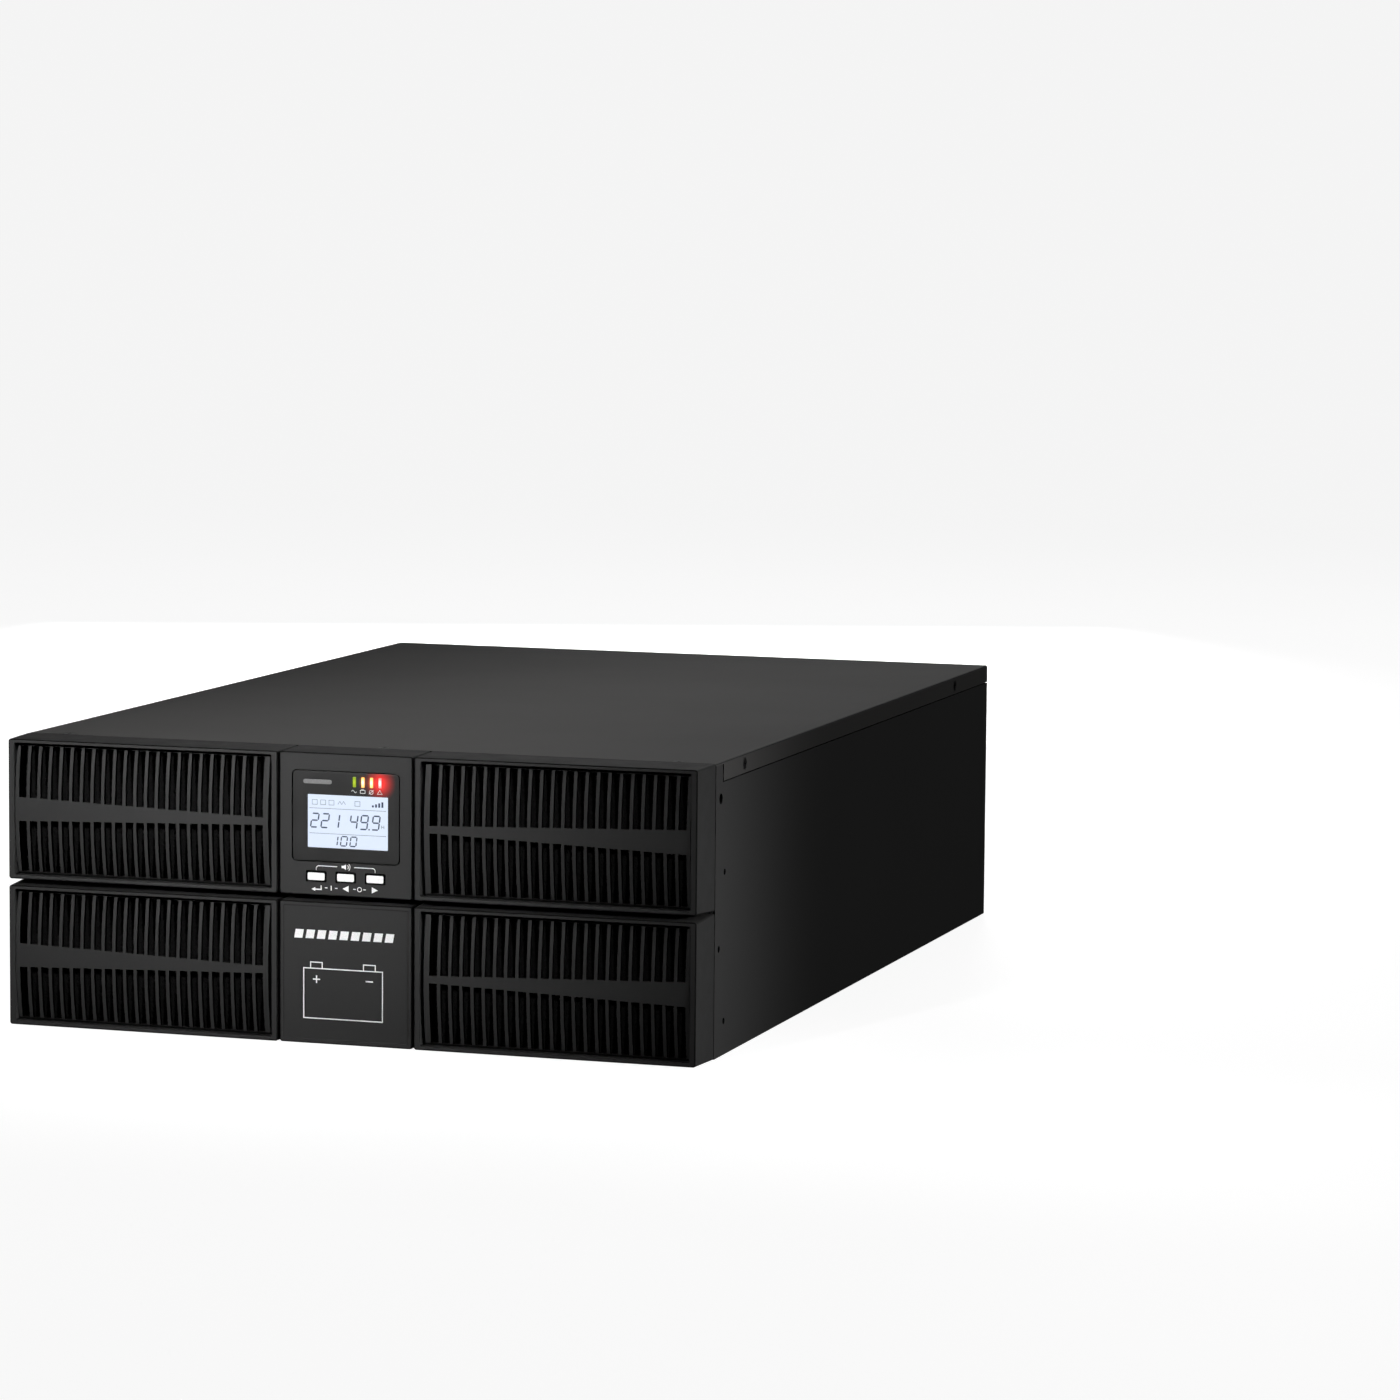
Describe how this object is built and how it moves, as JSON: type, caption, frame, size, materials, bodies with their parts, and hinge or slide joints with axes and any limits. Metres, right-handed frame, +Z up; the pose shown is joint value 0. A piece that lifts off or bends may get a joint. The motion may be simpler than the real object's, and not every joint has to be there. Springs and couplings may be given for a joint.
{
  "type": "rackmount ups",
  "caption": "Rack-mount uninterruptible power supply with slotted front bezels, a lit display panel and a battery bay in one steel case.",
  "frame": {"origin": "bottom centre of the bounding box, on the face that the case rests on", "axes": "+X to the right seen from the front, -Y out of the front, +Z up"},
  "size_m": [0.44, 0.668, 0.175],
  "materials": {
    "case_paint": "fine textured black powder coat",
    "cover_paint": "fine textured charcoal powder coat",
    "inner_paint": "matt black paint",
    "zinc_steel": "zinc-plated sheet",
    "black_screw": "black-zinc screws",
    "front_plastic": "satin moulded plastic with a fine spark texture",
    "grille_plastic": "satin moulded plastic",
    "filter_foam": "open black foam",
    "lens_plastic": "printed overlay, satin",
    "display_glass": "backlit display behind clear glass",
    "light_pipe": "lit clear plastic",
    "circuit_board": "green solder resist",
    "button_plastic": "white moulded plastic",
    "battery_case": "dark grey moulded plastic",
    "copper": "bare copper strap",
    "brass": "yellow plated brass",
    "bare_aluminium": "extruded, bare",
    "component_plastic": "black moulded plastic",
    "capacitor_sleeve": "blue shrink sleeve",
    "winding": "enamelled copper winding",
    "ferrite": "dark ferrite with tape",
    "fan_plastic": "black moulded plastic",
    "plated_wire": "bright plated wire",
    "toggle_plastic": "white moulded lever",
    "socket_plastic": "grey moulded plastic",
    "plated_shell": "nickel-plated shell",
    "green_plastic": "green moulded plastic"
  },
  "bodies": {
    "case": {"chassis_tray": "case_paint", "top_cover": "cover_paint", "front_plate": "inner_paint", "rear_panel": "case_paint", "mid_shelf": "zinc_steel", "cover_screws": "black_screw", "rear_screws": "black_screw", "battery_row_1": "battery_case", "battery_row_2": "battery_case", "battery_row_3": "battery_case", "battery_row_4": "battery_case", "battery_links": "copper", "battery_clamps": "zinc_steel", "power_board": "circuit_board", "board_standoffs": "brass", "heatsinks": "bare_aluminium", "power_transistors": "component_plastic", "bus_capacitors": "capacitor_sleeve", "chokes": "winding", "charger_transformer": "ferrite", "relays": "component_plastic", "logic_board": "circuit_board", "left_fan_frame": "fan_plastic", "right_fan_frame": "fan_plastic", "fan_guards": "plated_wire", "input_breaker": "component_plastic", "battery_breaker": "component_plastic", "battery_socket": "socket_plastic", "terminal_block": "component_plastic", "terminal_cover": "case_paint", "card_slot_cover": "zinc_steel", "usb_port": "plated_shell", "serial_port": "plated_shell", "shutdown_port": "green_plastic", "ground_stud": "brass"},
    "upper_left_front": {"upper_left_bezel": "front_plastic", "upper_left_grille": "grille_plastic", "upper_left_filter": "filter_foam"},
    "upper_right_front": {"upper_right_bezel": "front_plastic", "upper_right_grille": "grille_plastic", "upper_right_filter": "filter_foam"},
    "lower_left_front": {"lower_left_bezel": "front_plastic", "lower_left_grille": "grille_plastic", "lower_left_filter": "filter_foam"},
    "lower_right_front": {"lower_right_bezel": "front_plastic", "lower_right_grille": "grille_plastic", "lower_right_filter": "filter_foam"},
    "control_unit": {"control_panel": "front_plastic", "display_lens": "lens_plastic", "display_module": "display_glass", "light_pipes": "light_pipe", "control_board": "circuit_board"},
    "enter_key": {"enter_button": "button_plastic"},
    "left_key": {"left_button": "button_plastic"},
    "right_key": {"right_button": "button_plastic"},
    "label_panel": {"battery_label_panel": "front_plastic"},
    "left_rotor": {"left_fan_rotor": "fan_plastic"},
    "right_rotor": {"right_fan_rotor": "fan_plastic"},
    "input_lever": {"input_toggle": "toggle_plastic"},
    "battery_lever": {"battery_toggle": "toggle_plastic"}
  },
  "joints": [
    {"name": "upper_left_pull", "type": "slide", "parent": "case", "child": "upper_left_front", "axis": [0, -1, 0], "range_m": [0, 0.045]},
    {"name": "upper_right_pull", "type": "slide", "parent": "case", "child": "upper_right_front", "axis": [0, -1, 0], "range_m": [0, 0.045]},
    {"name": "lower_left_pull", "type": "slide", "parent": "case", "child": "lower_left_front", "axis": [0, -1, 0], "range_m": [0, 0.045]},
    {"name": "lower_right_pull", "type": "slide", "parent": "case", "child": "lower_right_front", "axis": [0, -1, 0], "range_m": [0, 0.045]},
    {"name": "control_unit_pull", "type": "slide", "parent": "case", "child": "control_unit", "axis": [0, -1, 0], "range_m": [0, 0.045]},
    {"name": "label_panel_pull", "type": "slide", "parent": "case", "child": "label_panel", "axis": [0, -1, 0], "range_m": [0, 0.045]},
    {"name": "enter_press", "type": "slide", "parent": "control_unit", "child": "enter_key", "axis": [0, 1, 0], "range_m": [0, 0.0008], "stiffness_N_per_m": 400, "springref_m": -0.0008},
    {"name": "left_press", "type": "slide", "parent": "control_unit", "child": "left_key", "axis": [0, 1, 0], "range_m": [0, 0.0008], "stiffness_N_per_m": 400, "springref_m": -0.0008},
    {"name": "right_press", "type": "slide", "parent": "control_unit", "child": "right_key", "axis": [0, 1, 0], "range_m": [0, 0.0008], "stiffness_N_per_m": 400, "springref_m": -0.0008},
    {"name": "left_fan_spin", "type": "hinge", "parent": "case", "child": "left_rotor", "pos_m": [0.078, 0.31, 0.1315], "axis": [0, 1, 0], "continuous": true},
    {"name": "right_fan_spin", "type": "hinge", "parent": "case", "child": "right_rotor", "pos_m": [0.16, 0.31, 0.1315], "axis": [0, 1, 0], "continuous": true},
    {"name": "input_switch", "type": "hinge", "parent": "case", "child": "input_lever", "pos_m": [-0.066, 0.3228, 0.109], "axis": [1, 0, 0], "range_deg": [-50, 0]},
    {"name": "battery_switch", "type": "hinge", "parent": "case", "child": "battery_lever", "pos_m": [0.168, 0.3228, 0.043], "axis": [1, 0, 0], "range_deg": [-50, 0]}
  ]
}
